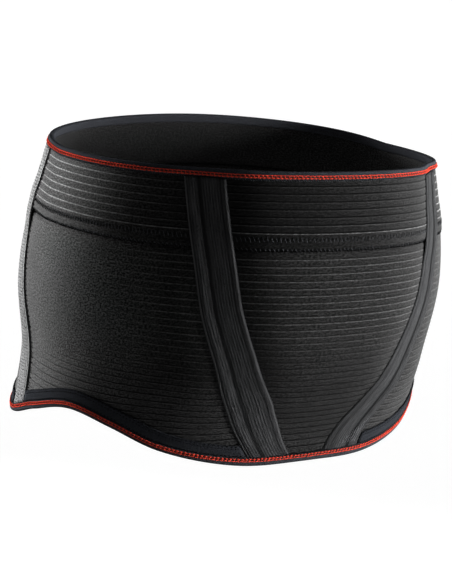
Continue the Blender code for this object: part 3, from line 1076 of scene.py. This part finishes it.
def over_tape(angle, drop):
    """Where the tapes run: between the straps and the side bands and behind the side bands."""
    turn = np.abs(from_front(angle))
    beside_band = np.abs(turn - side_band_angle(drop)) > half_turn(side_band_angle, drop, BAND_SPAN)
    return (turn > behind_strap(drop)) & beside_band


TapeRow = namedtuple("TapeRow", "name rise pitch along tall")
TAPE_ROWS = (
    TapeRow("tape_stitches_lower", 0.0088, 0.0036, 0.0014, 0.00030),
    TapeRow("tape_stitches_upper", 0.0155, 0.0031, 0.0012, 0.00035),
    TapeRow("tape_stitches_edge", 0.0178, 0.0040, 0.0021, 0.00030),
)
TAPE_STITCH = ((0.0, -0.0002), (0.5, 0.0001), (1.0, -0.0002))


def make_tape_stitches():
    """Dotted rows along the tapes: short dark threads with clear cloth between them."""
    made = []
    for row in TAPE_ROWS:
        share = row.along / row.pitch
        steps = [Stitch(share * along, row.rise, lift) for along, lift in TAPE_STITCH]
        paths, normals = stitch_paths(from_hem, row.pitch, steps, on_tape, over_tape)
        made.append(carried(row.name, paths, normals, 0.00045, row.tall, 5, black_thread))
    return made


OVERLOCK_PITCH = 0.0021
OVERLOCK = (Stitch(0.0, 0.0074, 0.0002), Stitch(0.3, 0.0079, 0.0002), Stitch(0.55, 0.0084, 0.0))


def make_overlock():
    """Small grey stitches that straddle the inner edge of the top binding."""
    paths, normals = stitch_paths(from_top, OVERLOCK_PITCH, OVERLOCK, on_knit)
    return carried("overlock", paths, normals, 0.00022, 0.0002, 5, grey_thread)


PATCH_ROWS = 13
PATCH_COLUMNS = 9
PATCH_PITCH = 0.0019


def make_strap_patch(side):
    """Slanting stitches over a triangle at a strap's lower end, in rows that get longer downwards."""
    row, column = np.meshgrid(np.arange(PATCH_ROWS), np.arange(PATCH_COLUMNS), indexing="ij")
    kept = column <= row * (PATCH_COLUMNS - 1) / (PATCH_ROWS - 1)
    row = row[kept][:, None]
    column = column[kept][:, None]
    step = np.array([[0.0, 0.5, 1.0]])
    rise = STRAP_END_RISE + 0.003 + (PATCH_ROWS - row) * PATCH_PITCH + 0.0015 * (step - 0.5)
    place = STRAP_WIDTH * 0.36 - (column + 0.75 * step) * PATCH_PITCH
    drop = hem_drop(np.full(rise.shape, side * strap_angle(FRONT_HEIGHT * 0.95))) - rise
    turn = 2 * half_turn(strap_angle, drop, STRAP_WIDTH) / STRAP_WIDTH
    angle = side * (strap_angle(drop) + place * turn)
    outer = over_knit(drop) + STRAP_THICKNESS + 0.0001
    paths = layer(angle, drop, outer)
    name = "strap_patch_" + ("right" if side < 0 else "left")
    return carried(name, paths, outwards(angle, drop), 0.00032, 0.00024, 5, pale_thread)


SEAM_PITCH = 0.0048
SEAM_START = 0.004
SEAM_END = 0.262
SEAM_STITCH = (0.0005, 0.0025, 0.0050)


def make_seam_notches(side):
    """Short dark stitches across the seam between a side band's front edge and the panel."""
    drop = np.arange(STRAP_TOP + SEAM_START, SEAM_END, SEAM_PITCH)[:, None] + np.zeros((1, 3))
    half = half_turn(side_band_angle, drop, SIDE_BAND_WIDTH)
    away = np.array([SEAM_STITCH]) / HALF_WIDTH
    angle = side * (side_band_angle(drop) - half - away)
    keep = (hem_drop(angle) - TAPE_TOP_RISE - 0.002 > drop).all(axis=1)
    angle = angle[keep]
    drop = drop[keep]
    outer = over_knit(drop) - STRIP_GAP + 0.0001
    paths = layer(angle, drop, outer)
    name = "seam_notches_" + ("right" if side < 0 else "left")
    return carried(name, paths, outwards(angle, drop), 0.0004, 0.0003, 5, black_thread)


# Stage, lights and camera

CAMERA_PLACE = Vector((-0.774, -1.326, 0.2124))
CAMERA_AZIMUTH = -30.45
CAMERA_PITCH = 7.81
CAMERA_ROLL = 0.907
FOCAL_PIXELS = 1599.0
IMAGE_HEIGHT = 584
SENSOR = 36.0


def make_camera():
    data = bpy.data.cameras.new("camera")
    data.sensor_width = SENSOR
    data.lens = FOCAL_PIXELS * SENSOR / IMAGE_HEIGHT
    camera = bpy.data.objects.new("camera", data)
    azimuth = np.radians(CAMERA_AZIMUTH)
    pitch = np.radians(CAMERA_PITCH)
    roll = np.radians(CAMERA_ROLL)
    turn = Matrix.Rotation(azimuth, 4, "Z") @ Matrix.Rotation(np.pi / 2 - pitch, 4, "X")
    turn = turn @ Matrix.Rotation(roll, 4, "Z")
    camera.matrix_world = Matrix.Translation(CAMERA_PLACE) @ turn
    bpy.context.scene.collection.objects.link(camera)
    bpy.context.scene.camera = camera


LIGHT_SPREAD = np.radians(40.0)


def make_light(name, place, size, power):
    data = bpy.data.lights.new(name, "AREA")
    data.shape = "RECTANGLE"
    data.size, data.size_y = size
    data.energy = power
    data.spread = LIGHT_SPREAD
    light = bpy.data.objects.new(name, data)
    light.location = place
    light.rotation_euler = (-Vector(place)).to_track_quat("-Z", "Y").to_euler()
    bpy.context.scene.collection.objects.link(light)


FLOOR_HEIGHT = -0.62
STAGE_REACH = 5.5
STAGE_BEND = 2.5
STAGE_TOP = 2.6
STAGE_SIDES = 96


def make_stage():
    """A pale round floor that turns up into a wall all round by a quarter circle: a profile of
    distances and heights, carried round the upright axis."""
    turn = np.linspace(0, np.pi / 2, 20)
    reach = np.concatenate([[0.05], STAGE_REACH + STAGE_BEND * np.sin(turn), [STAGE_REACH + STAGE_BEND]])
    rise = np.concatenate([[0.0], STAGE_BEND * (1 - np.cos(turn)), [STAGE_TOP]]) + FLOOR_HEIGHT
    around = np.linspace(0, 2 * np.pi, STAGE_SIDES, endpoint=False)
    x = reach[:, None] * np.cos(around)
    y = reach[:, None] * np.sin(around)
    points = np.stack([x, y, rise[:, None] + 0 * x], -1).reshape(-1, 3)
    row, column = quads_between(len(reach), STAGE_SIDES, False, True)
    faces = (row * STAGE_SIDES + column % STAGE_SIDES)[:, ::-1]
    middle = np.arange(STAGE_SIDES)[None, :]
    finish = Finish("stage")
    place = finish.node("TexCoord", {}, {}, "Object")
    finish.set(Base_Color=finish.mixed(finish.noise(place, 3.0), grey(0.34), grey(0.36)), Roughness=0.9,
               Emission_Color=grey(1.0), Emission_Strength=0.80)
    make_mesh("stage", points, [faces, middle], finish.material)


def make_world():
    world = bpy.data.worlds.new("studio")
    world.use_nodes = True
    world.node_tree.nodes["Background"].inputs["Color"].default_value = (1.0, 1.0, 1.0, 1.0)
    world.node_tree.nodes["Background"].inputs["Strength"].default_value = 0.4
    bpy.context.scene.world = world
    bpy.context.scene.view_settings.view_transform = "Standard"


def dress(piece, slot, *nodes):
    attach(piece, "root")
    if nodes:
        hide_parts(*nodes)


def declare(piece, with_pieces=()):
    """Runs through the pieces given with a piece and keeps nothing."""
    list(with_pieces)


def main():
    make_camera()
    make_world()
    make_stage()
    make_light("left rim", (-1.05, 2.75, 0.3), (1.4, 2.0), 270.0)
    make_light("right rim", (2.7, 0.2, 0.2), (0.7, 1.2), 85.0)
    make_light("right key", (2.45, -1.9, -0.1), (1.0, 1.2), 100.0)

    top_ladder = make_ladder("top_ladder", from_top)
    hem_ladder = make_ladder("hem_ladder", from_hem)
    zigzags = make_zigzags()
    overlock = make_overlock()
    tape_stitches = make_tape_stitches()
    patch = make_strap_patch(1)
    notches = [make_seam_notches(side) for side in (-1, 1)]
    for thread in (*top_ladder, *hem_ladder):
        dress(thread, "red_thread")
    for thread in (*zigzags, overlock):
        dress(thread, "ribbed_knit")
    for thread in tape_stitches:
        dress(thread, "hem_tape")
    dress(patch, "strap_elastic")
    for thread in notches:
        dress(thread, "plain_knit")

    band = make_upper_band()
    dress(band, "ribbed_knit", "upper_band")
    declare(band, [*zigzags, overlock])
    for (name, _, _), panel in zip(PANELS, make_panels()):
        dress(panel, "ribbed_knit" if name == "front_panel" else "plain_knit", name)
        declare(panel, {"side_panel_right": notches[:1], "side_panel_left": notches[1:]}.get(name, []))
    for side, suffix in ((-1, "right"), (1, "left")):
        strap = make_strip(f"elastic_strap_{suffix}", strap_angle, STRAP_WIDTH, STRAP_THICKNESS, side,
                           STRAP_COLUMNS, strap_relief, strap_elastic)
        dress(strap, "strap_elastic", f"front_strap_{suffix}")
        declare(strap, [patch] if side > 0 else [])
        side_band = make_strip(f"elastic_side_band_{suffix}", side_band_angle, SIDE_BAND_WIDTH,
                               SIDE_BAND_THICKNESS, side, SIDE_BAND_COLUMNS, band_relief, ribbed_elastic)
        dress(side_band, "ribbed_elastic", f"side_band_{suffix}")
        declare(side_band)
    for tape, name in zip(make_tapes(), ("hem_tape_right", "hem_tape_left", "hem_tape_back")):
        dress(tape, "hem_tape", name)
        declare(tape, tape_stitches if name == "hem_tape_back" else [])
    for name, drops_at, ladder in (("top", from_top, top_ladder), ("bottom", from_hem, hem_ladder)):
        binding = make_binding(f"fold_{name}_binding", drops_at, folded_binding)
        dress(binding, "binding", f"{name}_binding")
        declare(binding, ladder)


main()
